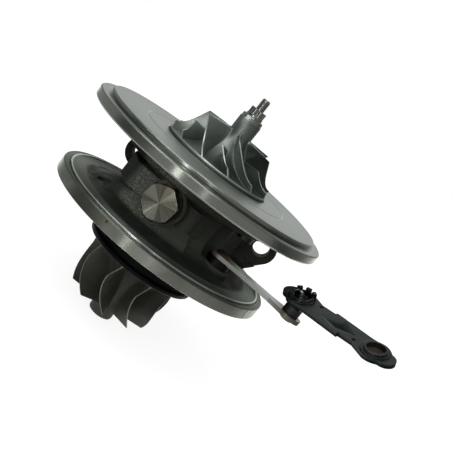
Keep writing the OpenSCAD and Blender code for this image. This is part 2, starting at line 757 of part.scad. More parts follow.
module compressor_wheel() {
    hub_line = [for (i = [0 : blade_steps]) comp_hub(1 - i / blade_steps)];
    nose_r = comp_nose_d / 2;
    top_r = nose_r - nose_ledge;
    step_z = comp_hub_h - nose_step;
    pitch = 360 / full_blades;
    color("lightgray") translate([0, 0, wheel_z]) difference() {
        union() {
            turned(concat([[0, 0], [comp_d / 2, 0]], hub_line,
                [[nose_r, step_z], [top_r, step_z + nose_ledge], [top_r, comp_hub_h - edge],
                 [top_r - edge, comp_hub_h], [0, comp_hub_h]]));
            for (i = [0 : full_blades - 1]) rotate([0, 0, comp_first + i * pitch]) {
                blade_skin(comp_grid(0), comp_root_t, comp_tip_t);
                rotate([0, 0, pitch / 2]) blade_skin(comp_grid(splitter_start), comp_root_t, comp_tip_t);
            }
        }
        translate([0, 0, -1]) cylinder(r = wheel_seat_r + slip, h = comp_hub_h + 2);
    }
}

// Hub and shroud lines of the turbine, from inlet (0) to outlet (1), measured down from its back
turb_back_t = 1.6;
turb_inlet_h = 8.6;
turb_hub_r = turb_d / 2 - 1.8;
function turb_hub(m) = [turb_nose_d / 2 + 0.6 + (turb_hub_r - turb_nose_d / 2 - 0.6) * (1 - sin(90 * m)),
    turb_back_t + (turb_blade_len + 1.6 - turb_back_t) * (1 - cos(90 * m))];
turb_overhang = turb_d / 2 - turb_hub_r;
function turb_root(m) = [turb_hub(m)[0] + turb_overhang * pow(1 - sin(90 * m), 3) - root_sink * sin(90 * m),
    turb_hub(m)[1] - root_sink * cos(90 * m)];
function turb_shroud(m) = [turb_d / 2 - (turb_d - exducer_d) / 2 * pow(m, 2.6),
    turb_inlet_h + (turb_blade_len - turb_inlet_h) * m];
function turb_at(m, s) = let (h = turb_root(m), t = turb_shroud(m), p = h + (t - h) * s)
    [p[0], turb_turn * pow(m, 2.2) + turb_rake * (1 - s) * pow(1 - m, 2), -p[1]];
turb_first = -108.3;
turb_rake = 8;
turb_root_t = 0.8;
turb_tip_t = 0.5;
turb_nose_round = 1.4;
turb_nose_step = 3;

module turbine_wheel() {
    grid = [for (i = [0 : blade_steps])
        [for (j = [0 : span_steps]) turb_at(i / blade_steps, j / span_steps)]];
    hub_line = [for (i = [0 : blade_steps]) let (p = turb_hub(i / blade_steps)) [p[0], -p[1]]];
    nose_r = turb_nose_d / 2;
    color("dimgray") translate([0, 0, turb_z]) {
        turned(concat([[0, 0], [turb_hub_r, 0]], hub_line,
            [[nose_r, -turb_blade_len - turb_nose_step], [nose_r, turb_nose_round - turb_len],
             [nose_r - turb_nose_round, -turb_len], [0, -turb_len]]));
        for (i = [0 : turb_blades - 1]) rotate([0, 0, turb_first + i * 360 / turb_blades])
            blade_skin(grid, turb_root_t, turb_tip_t);
    }
}

module shaft_nut() {
    lobe_r = nut_d / 6;
    flange_h = nut_h / 4;
    color("silver") translate([0, 0, nut_z]) difference() {
        union() {
            cylinder(d = nut_d + edge, h = flange_h);
            cylinder(r = nut_d / 2 - lobe_r * 0.6, h = nut_h);
            for (i = [0 : 5]) rotate([0, 0, i * 60]) translate([nut_d / 2 - lobe_r, 0, 0])
                cylinder(r = lobe_r, h = nut_h);
        }
        translate([0, 0, -1]) cylinder(d = thread_d + 2 * eps, h = nut_h + 2);
    }
}

module crank_shaft() {
    color("gray") translate([pivot[0], pivot[1], 0]) {
        translate([0, 0, arm_top]) cylinder(d = crank_d, h = lever_z - arm_top);
        translate([0, 0, arm_z]) cylinder(d = rivet_d, h = lever_top - arm_z);
        translate([0, 0, lever_top])
            cylinder(d1 = rivet_head_d, d2 = rivet_head_d - rivet_taper, h = rivet_head_h);
    }
}

// Flat shape of the lever along its own X axis, from pivot to stud
module lever_outline() {
    half = lever_w / 2;
    near = lever_len * 0.3;
    far = lever_len * 0.72;
    circle(r = lever_head_r);
    translate([lever_len, 0]) circle(r = lever_end_r);
    polygon([[0, -lever_head_r], [near, -half], [far, -half], [lever_len, -lever_end_r],
        [lever_len, lever_end_r], [far, half], [near, half], [0, lever_head_r]]);
}

module control_lever() {
    color("silver") translate([pivot[0], pivot[1], lever_z]) rotate([0, 0, lever_angle]) difference() {
        linear_extrude(lever_t) lever_outline();
        translate([0, 0, -1]) cylinder(d = rivet_d + 2 * eps, h = lever_t + 2);
        translate([lever_len, 0, -1]) cylinder(d = stud_d + 2 * eps, h = lever_t + 2);
    }
}

module crank_arm() {
    color("dimgray") translate([pivot[0], pivot[1], arm_z]) rotate([0, 0, arm_angle]) difference() {
        linear_extrude(arm_t) {
            circle(r = arm_hub_r);
            translate([arm_len, 0]) circle(r = arm_end_r);
            polygon([[0, -arm_hub_r], [arm_len, -arm_end_r], [arm_len, arm_end_r], [0, arm_hub_r]]);
        }
        translate([0, 0, -1]) cylinder(d = rivet_d + 2 * eps, h = arm_t + 2);
        translate([arm_len, 0, -1]) cylinder(d = crank_pin_d + 2 * eps, h = arm_t + 2);
    }
}

module crank_pin() {
    color("silver") translate([arm_at[0], arm_at[1], arm_z - crank_pin_len])
        cylinder(d = crank_pin_d, h = arm_t + crank_pin_len);
}

module ball_stud() {
    ball_r = ball_d / 2;
    color("silver") translate([ball_at[0], ball_at[1], 0]) {
        translate([0, 0, lever_z - rivet_head_h])
            cylinder(d1 = rivet_head_d - rivet_taper, d2 = rivet_head_d, h = rivet_head_h);
        translate([0, 0, lever_z]) cylinder(d = stud_d, h = ball_at[2] - lever_z);
        translate([0, 0, ball_at[2]]) intersection() {
            sphere(r = ball_r);
            translate([-ball_r, -ball_r, -ball_r]) cube([ball_d, ball_d, ball_r + ball_flat]);
        }
    }
}

module stud_boot() {
    color("black") translate([ball_at[0], ball_at[1], 0])
        ring(boot_d / 2, stud_d / 2 + boot_gap, lever_top, boot_h);
}

// Children placed in the link's own frame: X along the link, Z out of its plate
module on_link() {
    translate(ball_at) rotate([link_roll, -link_pitch, link_yaw]) children();
}

// Half of the link's flat shape, from one end to the middle
module link_half() {
    low = -link_w / 2 - 0.6;
    high = link_w / 2 - 0.6;
    tip_r = link_end_r * 0.66;
    tip_x = -link_end_r * 0.8;
    middle = link_len / 2;
    circle(r = link_end_r);
    translate([tip_x, 0]) circle(r = tip_r);
    polygon([[tip_x, -tip_r], [-1, -link_end_r], [link_end_r, low], [middle + link_w / 2, low],
        [middle + link_w / 2, 0], [middle - link_w / 2, high], [link_end_r * 1.3, high - edge],
        [1, link_end_r], [tip_x, tip_r]]);
}

// The sunk panel in the link's top, deepest in its middle
module link_panel() {
    long = link_len / 4;
    wide = link_w * 0.43;
    deep = link_t * 0.7;
    translate([link_len / 2 + 1, 0, link_t / 2 + eps]) mirror([0, 0, 1]) linear_extrude(deep, scale = 0.12)
        polygon([[-long * 0.9, -wide * 0.35], [0, wide], [long, 0], [0, -wide]]);
}

module link_bar() {
    color("black") on_link() difference() {
        translate([0, 0, -link_t / 2]) linear_extrude(link_t) {
            link_half();
            translate([link_len, 0]) rotate(180) link_half();
        }
        for (x = [0, link_len]) translate([x, 0, -link_t]) cylinder(r = socket_r + eps, h = 2 * link_t);
        link_panel();
        for (p = [link_hole, [link_len, 0] - link_hole])
            translate([p[0], p[1], -link_t]) cylinder(d = link_hole_d, h = 2 * link_t);
    }
}

// The pressed-in socket body, before its seat is cut
module socket_body() {
    top = link_t / 2 + socket_rise;
    turned([[0, -link_t / 2], [socket_r, -link_t / 2], [socket_r, link_t / 2], [socket_flange_r, link_t / 2],
        [socket_flange_r, link_t / 2 + socket_flange_t], [socket_rim_r, link_t / 2 + socket_flange_t],
        [socket_rim_r, top - socket_edge], [socket_rim_r - socket_edge, top], [0, top]]);
}

module lever_end_socket() {
    color("black") on_link() difference() {
        union() {
            socket_body();
            for (a = socket_lugs) rotate([0, 0, a]) translate([socket_r - 1, -socket_lug_w / 2, link_t / 2])
                cube([socket_lug_t, socket_lug_w, socket_lug_h]);
        }
        sphere(r = ball_d / 2 + running_gap);
    }
}

module actuator_end_socket() {
    color("black") on_link() translate([link_len, 0, 0]) difference() {
        socket_body();
        translate([0, 0, -link_t]) cylinder(d = actuator_bore_d, h = 3 * link_t);
    }
}

bearing_housing();
back_plate();
back_plate_screws();
back_plate_o_ring();
journal_bearing();
bearing_pin();
thrust_bearing();
oil_deflector();
heat_shield();
turbine_piston_ring();
compressor_piston_ring();
hex_plug();
plug_washer();
crank_bush();
rotor_shaft();
turbine_wheel();
thrust_collar();
oil_flinger();
compressor_wheel();
shaft_nut();
crank_shaft();
control_lever();
crank_arm();
crank_pin();
ball_stud();
stud_boot();
link_bar();
lever_end_socket();
actuator_end_socket();
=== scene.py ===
"""Looks of the turbocharger cartridge: finer wheels, threads, finishes, light and camera."""

import json
import math

import bmesh
import bpy
from mathutils import Euler, Matrix, Vector

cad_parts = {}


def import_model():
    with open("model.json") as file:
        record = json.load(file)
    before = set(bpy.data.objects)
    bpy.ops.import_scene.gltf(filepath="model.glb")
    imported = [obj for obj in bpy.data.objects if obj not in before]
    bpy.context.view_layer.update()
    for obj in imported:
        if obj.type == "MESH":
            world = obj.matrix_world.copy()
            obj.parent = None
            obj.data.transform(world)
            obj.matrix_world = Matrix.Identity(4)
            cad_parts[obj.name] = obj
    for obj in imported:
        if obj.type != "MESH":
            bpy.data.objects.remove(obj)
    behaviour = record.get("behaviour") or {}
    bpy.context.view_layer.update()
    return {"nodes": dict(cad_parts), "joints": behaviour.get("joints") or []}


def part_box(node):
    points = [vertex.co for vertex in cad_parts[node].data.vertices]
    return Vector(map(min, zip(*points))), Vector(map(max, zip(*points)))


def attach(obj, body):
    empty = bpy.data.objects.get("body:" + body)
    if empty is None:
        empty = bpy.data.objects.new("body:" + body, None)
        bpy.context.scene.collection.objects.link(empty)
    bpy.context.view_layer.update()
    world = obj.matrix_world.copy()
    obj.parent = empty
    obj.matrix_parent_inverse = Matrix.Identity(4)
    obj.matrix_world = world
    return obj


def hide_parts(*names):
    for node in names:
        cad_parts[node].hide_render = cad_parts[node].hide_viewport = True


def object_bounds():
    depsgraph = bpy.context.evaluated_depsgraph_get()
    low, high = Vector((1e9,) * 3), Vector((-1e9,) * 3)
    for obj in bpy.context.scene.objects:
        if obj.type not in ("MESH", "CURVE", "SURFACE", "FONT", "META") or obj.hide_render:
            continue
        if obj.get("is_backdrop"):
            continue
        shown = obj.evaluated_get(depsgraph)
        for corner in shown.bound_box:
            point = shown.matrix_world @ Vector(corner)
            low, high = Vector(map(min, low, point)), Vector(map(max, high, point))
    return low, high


MM = 0.001

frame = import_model()
nodes = frame["nodes"]


# Places read from the frame, in millimetres

def box_mm(node):
    """Lowest and highest corner of a CAD node, in millimetres."""
    low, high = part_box(node)
    return low / MM, high / MM


def middle_mm(node):
    """Middle of a CAD node's box, in millimetres."""
    low, high = box_mm(node)
    return (low + high) / 2


def joint_anchor(name):
    """A joint's anchor point, in millimetres."""
    found = next(j for j in frame["joints"] if j["name"] == name)
    return Vector(found["pos_m"]) / MM


WHEEL_LOW, WHEEL_HIGH = box_mm("compressor_wheel")
TURBINE_LOW, TURBINE_HIGH = box_mm("turbine_wheel")
NUT_TOP = box_mm("shaft_nut")[1].z
SHAFT_TOP = box_mm("rotor_shaft")[1].z
FOOT_FACE = box_mm("bearing_housing")[1].y
WASHER_TOP = box_mm("plug_washer")[1].z
PLUG_SEAT = middle_mm("plug_washer")
STUD = middle_mm("stud_boot")
LEVER_PIVOT = joint_anchor("lever_pivot")

# The link's ball, then its length to the far end and its lean at rest, both typed as in its solid
LINK_BALL = joint_anchor("link_swivel")
LINK_LEN = 44.2
LINK_TURN = Euler([math.radians(a) for a in (29.5, -9.3, -43.4)]).to_matrix()


# Nodes

class Nodes:
    """Short names for the nodes that the finishes, the floor and the world share."""

    def __init__(self, tree):
        self.tree = tree

    def node(self, kind, **settings):
        made = self.tree.nodes.new(kind)
        for key, value in settings.items():
            setattr(made, key, value)
        return made

    def put(self, socket, value):
        if isinstance(value, bpy.types.NodeSocket):
            self.tree.links.new(value, socket)
        elif hasattr(value, "__len__") and len(value) == 3 and socket.type == "RGBA":
            socket.default_value = (*value, 1)
        else:
            socket.default_value = value

    def math(self, operation, a, b=0.0):
        made = self.node("ShaderNodeMath", operation=operation)
        self.put(made.inputs[0], a)
        self.put(made.inputs[1], b)
        return made.outputs[0]

    def product(self, first, *others):
        for other in others:
            first = self.math("MULTIPLY", first, other)
        return first

    def largest(self, first, *others):
        for other in others:
            first = self.math("MAXIMUM", first, other)
        return first

    def vector(self, operation, a, b=(0, 0, 0), output=0):
        made = self.node("ShaderNodeVectorMath", operation=operation)
        self.put(made.inputs[0], a)
        self.put(made.inputs[1], b)
        return made.outputs[output]

    def split(self, vector):
        made = self.node("ShaderNodeSeparateXYZ")
        self.put(made.inputs[0], vector)
        return made.outputs[0], made.outputs[1], made.outputs[2]

    def step(self, value, low, high, to_low=0.0, to_high=1.0):
        """A smooth step of value from low to high."""
        made = self.node("ShaderNodeMapRange", interpolation_type="SMOOTHSTEP")
        for socket, number in zip(made.inputs, (value, low, high, to_low, to_high)):
            self.put(socket, number)
        return made.outputs[0]

    def blend(self, share, a, b):
        """A colour from a to b."""
        made = self.node("ShaderNodeMix", data_type="RGBA")
        self.put(made.inputs["Factor"], share)
        self.put(made.inputs[6], a)
        self.put(made.inputs[7], b)
        return made.outputs[2]

    def mix(self, share, a, b):
        """A number from a to b."""
        made = self.node("ShaderNodeMix")
        self.put(made.inputs["Factor"], share)
        self.put(made.inputs[2], a)
        self.put(made.inputs[3], b)
        return made.outputs[0]


# Materials

FADE_OUT = (1.0, 0.0)
GRAIN_CLIMB = 1.37
QUARTER_TURN = 0.25
BEVEL_SAMPLES = 8


class Finish(Nodes):
    """A node material around one Principled shader."""

    def __init__(self, name):
        self.material = bpy.data.materials.new(name)
        self.material.use_nodes = True
        super().__init__(self.material.node_tree)
        self.tree.nodes.clear()
        out = self.node("ShaderNodeOutputMaterial")
        self.shader = self.node("ShaderNodeBsdfPrincipled")
        self.tree.links.new(self.shader.outputs[0], out.inputs["Surface"])
        self.place = self.node("ShaderNodeTexCoord").outputs["Object"]

    def set(self, **inputs):
        for key, value in inputs.items():
            self.put(self.shader.inputs[key.replace("_", " ")], value)
        return self

    def in_mm(self, length):
        return self.math("DIVIDE", length, MM)

    def noise(self, scale, detail=3.0, rough=0.55, at=None):
        """Noise with features about 1/scale millimetres wide."""
        made = self.node("ShaderNodeTexNoise")
        self.put(made.inputs["Vector"], at or self.place)
        self.put(made.inputs["Scale"], scale / MM)
        self.put(made.inputs["Detail"], detail)
        self.put(made.inputs["Roughness"], rough)
        return made.outputs["Fac"]

    def bump(self, height, depth, strength, rounded):
        """A bump whose full height is depth millimetres, over edges rounded by that many millimetres."""
        made = self.node("ShaderNodeBump")
        self.put(made.inputs["Height"], height)
        self.put(made.inputs["Distance"], depth * MM)
        self.put(made.inputs["Strength"], strength)
        self.put(made.inputs["Normal"], self.soft_edges(rounded))
        self.set(Normal=made.outputs[0])
        return self

    def soft_edges(self, radius):
        """The normal with its edges rounded by that many millimetres."""
        made = self.node("ShaderNodeBevel", samples=BEVEL_SAMPLES)
        self.put(made.inputs["Radius"], self.math("MULTIPLY", radius, MM))
        return made.outputs[0]

    def edges(self, radius, low=0.03, high=0.2):
        """One along the sharp edges, over about that many millimetres, and zero elsewhere."""
        flat = self.node("ShaderNodeNewGeometry").outputs["Normal"]
        same = self.vector("DOT_PRODUCT", flat, self.soft_edges(radius), output=1)
        return self.step(self.math("SUBTRACT", 1.0, same), low, high)

    def upward(self):
        """One on flats that face along the shaft, zero on walls."""
        return self.step(self.split(self.node("ShaderNodeNewGeometry").outputs["Normal"])[2], 0.6, 0.8)

    def off_axis(self, centre, axis):
        """Radius from an axis in millimetres, the height along it, and the direction round it."""
        centre = Vector(centre) * MM
        axis = Vector(axis).normalized()
        from_centre = self.vector("SUBTRACT", self.place, centre)
        along = self.vector("DOT_PRODUCT", from_centre, axis, output=1)
        cross = self.vector("CROSS_PRODUCT", axis, from_centre)
        radius = self.vector("LENGTH", cross, output=1)
        return self.in_mm(radius), self.in_mm(along), self.vector("NORMALIZE", cross)

    def turned(self, centre, axis, grain):
        """Fine grooves round an axis: sets the tangent, gives radius, height, tangent and grain."""
        radius, along, tangent = self.off_axis(centre, axis)
        self.set(Tangent=tangent, Anisotropic_Rotation=QUARTER_TURN)
        made = self.node("ShaderNodeTexNoise", noise_dimensions="1D")
        self.put(made.inputs["W"], self.math("ADD", radius, self.math("MULTIPLY", along, GRAIN_CLIMB)))
        self.put(made.inputs["Scale"], grain)
        self.put(made.inputs["Detail"], 3.0)
        return radius, along, tangent, made.outputs["Fac"]


AXIS = (0, 0, 1)
ORIGIN = (0, 0, 0)
# Near-white colour painted along sharp edges as a highlight
EDGE_PAINTED_HIGHLIGHT = (0.85, 0.88, 0.84)
LATHE_SHEEN = 0.93
NOT_METAL = 0.0


def stained(colour, stain):
    return tuple(c * (1 - stain) for c in colour)


def turned_metal(name, colour, rough, turn=LATHE_SHEEN, centre=ORIGIN, grain=6.0, depth=0.02, stain=0.25):
    """Steel, bronze or aluminium off a lathe, about an upright axis."""
    finish = Finish(name)
    line = finish.turned(centre, AXIS, grain)[3]
    cloud = finish.step(finish.noise(scale=0.09, detail=4.0), 0.35, 0.7)
    finish.set(Base_Color=finish.blend(cloud, stained(colour, stain), colour), Metallic=1.0,
               Roughness=finish.mix(line, rough * 0.8, rough * 1.25), Anisotropic=turn)
    return finish.bump(line, depth, strength=0.5, rounded=0.12)


def plain_metal(name, colour, rough, metallic=1.0, grain=1.2, depth=0.03, stain=0.3, rounded=0.25):
    """Milled, pressed, cast or moulded stuff with a faint uneven grain."""
    finish = Finish(name)
    fine = finish.noise(scale=grain, detail=4.0)
    cloud = finish.step(finish.noise(scale=0.12, detail=4.0), 0.35, 0.68)
    finish.set(Base_Color=finish.blend(cloud, stained(colour, stain), colour), Metallic=metallic,
               Roughness=finish.mix(fine, rough * 0.75, rough * 1.3))
    return finish.bump(fine, depth, strength=0.6, rounded=rounded)


def milled_alloy(name, colour, rough):
    """Aluminium off a milling cutter."""
    return plain_metal(name, colour, rough, depth=0.008, stain=0.12)


def marked(finish, at, radius, colour, over):
    """A dab of colour round a point in millimetres, laid over another colour with a ragged edge."""
    off = finish.in_mm(finish.vector("DISTANCE", finish.place, Vector(at) * MM, output=1))
    ragged = finish.math("ADD", off, finish.math("MULTIPLY", finish.noise(scale=0.9), 2.0))
    return finish.blend(finish.step(ragged, radius + 0.7, radius + 1.2, *FADE_OUT), over, colour)


# Housing: where its finishes begin and end, by radius, by height over the flange's face and by x
LAND_START = (45.0, 48.5)
FLANGE_TOP = (6.4, 6.8)
FOOT_SKIN = (0.1, 0.02)
# Heights over the flange's face where the iron turns from painted shade below to the block above
BLOCK_FOOT = (8.0, 11.0)
# x over which the grain highlight painted on the lit block fades out
PAINTED_SPARKLE_RIGHT = (-10.0, 3.0)
PAINTED_SPARKLE_LEFT = (-28.0, -23.0)
OILY_LEFT = (-34.0, -24.0)
LIP_IN = 54.1
LIP_OUT = 54.9
LIP_TOP = 6.2
LIP_WALL = (0.75, 0.6)
GROOVE_OUT = 55.9
LINE_BLEND = 0.1
RIM_RUST = (-20.7, -54.5, 4.0)
RUST_R = 0.7
RUST = (0.16, 0.075, 0.03)


def cast_iron(finish, along, x):
    """Colour, shine, roughness and height of black cast iron, with its grain painted bright as a highlight on
    the lit block by the plug, and painted shade on the iron below the block.
    """
    grain = finish.noise(scale=2.1, detail=1.5, rough=0.6)
    sand = finish.noise(scale=0.5, detail=4.0, rough=0.7)
    oil = finish.step(finish.noise(scale=0.16, detail=4.0, rough=0.6), 0.4, 0.62)
    upper = finish.step(along, *BLOCK_FOOT)
    # Where the block's grain tops are painted bright as a highlight
    painted_sparkle = finish.product(upper, finish.step(x, *PAINTED_SPARKLE_RIGHT, 1.0, 0.16), finish.step(x, *PAINTED_SPARKLE_LEFT))
    # Pits of the grain, painted darker below the block as shade
    gaps = finish.blend(upper, (0.0091, 0.0116, 0.00949), (0.0553, 0.0592, 0.0488))
    tops = finish.blend(painted_sparkle, (0.015, 0.0168, 0.0142), (0.252, 0.258, 0.222))
    colour = finish.blend(finish.step(grain, 0.5, 0.62), gaps, tops)
    wet = finish.mix(finish.step(x, *OILY_LEFT, *FADE_OUT), finish.mix(oil, 0.16, 0.36), 0.56)
    shine = finish.mix(painted_sparkle, finish.mix(upper, wet, 0.05), 0.6)
    rough = finish.mix(upper, finish.mix(oil, 0.55, 0.75), finish.mix(painted_sparkle, 0.7, 0.42))
    height = finish.math("ADD", sand, finish.math("MULTIPLY", grain, 0.9))
    return colour, shine, rough, height


def machined_iron(finish, radius, along, line):
    """Colour and roughness of the machined rim and land, with a lip painted bright as a highlight inside a
    groove painted dark as shade.
    """
    flat = finish.upward()
    cloud = finish.step(finish.noise(scale=0.06), 0.35, 0.65)
    rim = finish.blend(cloud, (0.2, 0.205, 0.178), (0.275, 0.28, 0.246))
    rim = marked(finish, RIM_RUST, RUST_R, RUST, rim)
    rings = finish.blend(finish.step(line, 0.42, 0.58), (0.08, 0.086, 0.08), (0.21, 0.226, 0.21))
    # The groove, painted dark as shade
    groove = finish.product(finish.step(radius, LIP_OUT, LIP_OUT + LINE_BLEND),
                            finish.step(radius, GROOVE_OUT - 2 * LINE_BLEND, GROOVE_OUT, *FADE_OUT))
    # The lip, painted near-white as a highlight
    lip = finish.product(finish.step(radius, LIP_IN - LINE_BLEND, LIP_IN),
                         finish.step(radius, LIP_OUT, LIP_OUT + LINE_BLEND, *FADE_OUT),
                         finish.step(along, LIP_TOP - LIP_WALL[0], LIP_TOP - LIP_WALL[1]))
    colour = finish.blend(groove, finish.blend(flat, rim, rings), (0.02, 0.021, 0.019))
    colour = finish.blend(lip, colour, EDGE_PAINTED_HIGHLIGHT)
    # Sharp edges of the rim and land painted near-white as a highlight
    colour = finish.blend(finish.edges(0.3), colour, EDGE_PAINTED_HIGHLIGHT)
    return colour, finish.mix(flat, finish.mix(line, 0.25, 0.31), 0.6)


def cast_housing():
    """Black cast iron with a machined flange and foot, told apart by their place."""
    finish = Finish("cast_and_machined")
    radius, along, _, line = finish.turned(ORIGIN, AXIS, grain=5.0)
    x, y = (finish.in_mm(part) for part in finish.split(finish.place)[:2])
    land = finish.product(finish.step(radius, *LAND_START), finish.step(along, *FLANGE_TOP, *FADE_OUT))
    foot = finish.step(y, FOOT_FACE - FOOT_SKIN[0], FOOT_FACE - FOOT_SKIN[1])
    machined = finish.largest(land, foot)
    iron, shine, iron_rough, sand = cast_iron(finish, along, x)
    steel, steel_rough = machined_iron(finish, radius, along, line)
    finish.set(Base_Color=finish.blend(machined, iron, steel), Metallic=machined,
               Specular_IOR_Level=shine, Specular_Tint=(0.94, 1.0, 0.9),
               Roughness=finish.mix(machined, iron_rough, steel_rough),
               Anisotropic=finish.mix(machined, 0.0, LATHE_SHEEN))
    height = finish.mix(machined, sand, finish.math("MULTIPLY", line, 0.03))
    return finish.bump(height, depth=0.35, strength=0.7, rounded=finish.mix(machined, 0.8, 0.12))


def plate_finish():
    """Turned aluminium: a fine sheen round the rim, a duller face."""
    finish = Finish("turned_plate")
    line = finish.turned(ORIGIN, AXIS, grain=3.0)[3]
    face = finish.upward()
    cloud = finish.step(finish.noise(scale=0.05, detail=4.0), 0.35, 0.7)
    dull = finish.blend(cloud, (0.266, 0.294, 0.271), (0.284, 0.313, 0.289))
    tone = finish.blend(face, (0.31, 0.323, 0.291), dull)
    rough = finish.mix(face, 0.25, 0.43)
    # Sharp edges of the plate painted near-white as a highlight
    finish.set(Base_Color=finish.blend(finish.edges(0.3), tone, EDGE_PAINTED_HIGHLIGHT), Metallic=1.0,
               Roughness=finish.math("MULTIPLY", rough, finish.mix(line, 0.88, 1.15)),
               Anisotropic=finish.mix(face, LATHE_SHEEN, 0.2))
    return finish.bump(line, depth=0.003, strength=0.3, rounded=0.3)


PLUG_PAINTED_RAYS = 1.7
PLUG_CORNERS = (8.2, 8.7)


def plug_finish():
    """A bright faced hexagon with a starburst highlight painted by angle round its middle."""
    outward = Vector((PLUG_SEAT.x, PLUG_SEAT.y, 0))
    finish = Finish("faced_plug")
    radius, _, tangent, line = finish.turned(PLUG_SEAT, outward, grain=7.0)
    # Bright and dark sectors painted by angle as a starburst highlight
    painted_rays = finish.noise(scale=PLUG_PAINTED_RAYS * MM, detail=2.0, rough=0.6, at=tangent)
    face = finish.blend(finish.step(painted_rays, 0.4, 0.62), (0.15, 0.146, 0.118), (0.335, 0.331, 0.28))
    tone = finish.blend(finish.step(radius, *PLUG_CORNERS), face, (0.1, 0.098, 0.085))
    # Sharp edges of the plug painted near-white as a highlight
    finish.set(Base_Color=finish.blend(finish.edges(0.25), tone, EDGE_PAINTED_HIGHLIGHT), Metallic=1.0,
               Roughness=finish.mix(line, 0.13, 0.2), Anisotropic=0.97)
    return finish.bump(line, depth=0.002, strength=0.3, rounded=0.2)


WASHER_LIT_TOP = (2.2, 0.8)


def washer_finish():
    """Dark copper, painted red as a highlight only along its upper side."""
    finish = Finish("copper_washer")
    up = finish.in_mm(finish.split(finish.place)[2])
    # Copper red painted only near the top edge as a highlight, dark below
    painted_lit_top = finish.step(up, WASHER_TOP - WASHER_LIT_TOP[0], WASHER_TOP - WASHER_LIT_TOP[1])
    fine = finish.noise(scale=1.2, detail=4.0)
    finish.set(Base_Color=finish.blend(painted_lit_top, (0.02, 0.017, 0.014), (0.15, 0.055, 0.03)),
               Metallic=0.7, Roughness=finish.mix(fine, 0.4, 0.6))
    return finish.bump(fine, depth=0.03, strength=0.5, rounded=0.2)


# Dabs of marking paint on the turbine: place, radius and colour
PAINT_DABS = (((-13.0, -10.6, -27.6), 0.9, (0.12, 0.024, 0.042)),
              ((-4.4, -20.5, -26.6), 1.1, (0.012, 0.02, 0.05)))


def cast_turbine():
    """Dull heat-resistant casting with dabs of marking paint."""
    finish = Finish("cast_turbine")
    fine = finish.noise(scale=0.8, detail=4.0)
    cloud = finish.step(finish.noise(scale=0.12, detail=4.0), 0.35, 0.68)
    alloy = finish.blend(cloud, (0.0429, 0.0451, 0.0363), (0.0592, 0.0614, 0.0496))
    for place, radius, colour in PAINT_DABS:
        alloy = marked(finish, place, radius, colour, alloy)
    finish.set(Base_Color=alloy, Metallic=0.35, Roughness=finish.mix(fine, 0.5, 0.75))
    return finish.bump(fine, depth=0.05, strength=0.6, rounded=0.2)


LEVER_BROWN_REFLECTION = (5.5, 11.0)


def lever_finish():
    """Bright sheet steel, with a brown reflection painted towards its stud end."""
    finish = Finish("lever_sheet")
    off = finish.in_mm(finish.vector("DISTANCE", finish.place, STUD * MM, output=1))
    # Brown painted towards the stud end as a reflection
    brown_reflection = finish.step(off, *LEVER_BROWN_REFLECTION, *FADE_OUT)
    fine = finish.noise(scale=1.2, detail=4.0)
    finish.set(Base_Color=finish.blend(brown_reflection, (0.36, 0.365, 0.347), (0.144, 0.122, 0.09)), Metallic=0.8,
               Roughness=finish.mix(fine, 0.28, 0.45))
    return finish.bump(fine, depth=0.03, strength=0.5, rounded=0.25)


# Heights over the link's ball between which its sunk panel ends and its top begins, over which the panel's
# painted shade fades
LINK_PANEL = (-0.2, 0.9)


def link_finish():
    """Black coated sheet, with shade painted inside its sunk panel."""
    finish = Finish("link_plate")
    fine = finish.noise(scale=0.7, detail=4.0)
    height = finish.off_axis(LINK_BALL, LINK_TURN.col[2])[1]
    # Darker colour painted inside the sunk panel as shade
    sunk = finish.step(height, *LINK_PANEL, *FADE_OUT)
    top = finish.blend(fine, (0.009, 0.0125, 0.0118), (0.016, 0.021, 0.02))
    finish.set(Base_Color=finish.blend(sunk, top, (0.004, 0.0052, 0.005)),
               Specular_IOR_Level=finish.mix(sunk, 0.4, 0.12), Specular_Tint=(0.86, 1.0, 0.96),
               Roughness=finish.mix(fine, 0.32, 0.46))
    return finish.bump(fine, depth=0.04, strength=0.5, rounded=0.2)


BRONZE = (0.6, 0.4, 0.16)
GROUND_STEEL = (0.5, 0.5, 0.48)
PALE_STEEL = (0.4, 0.4, 0.38)

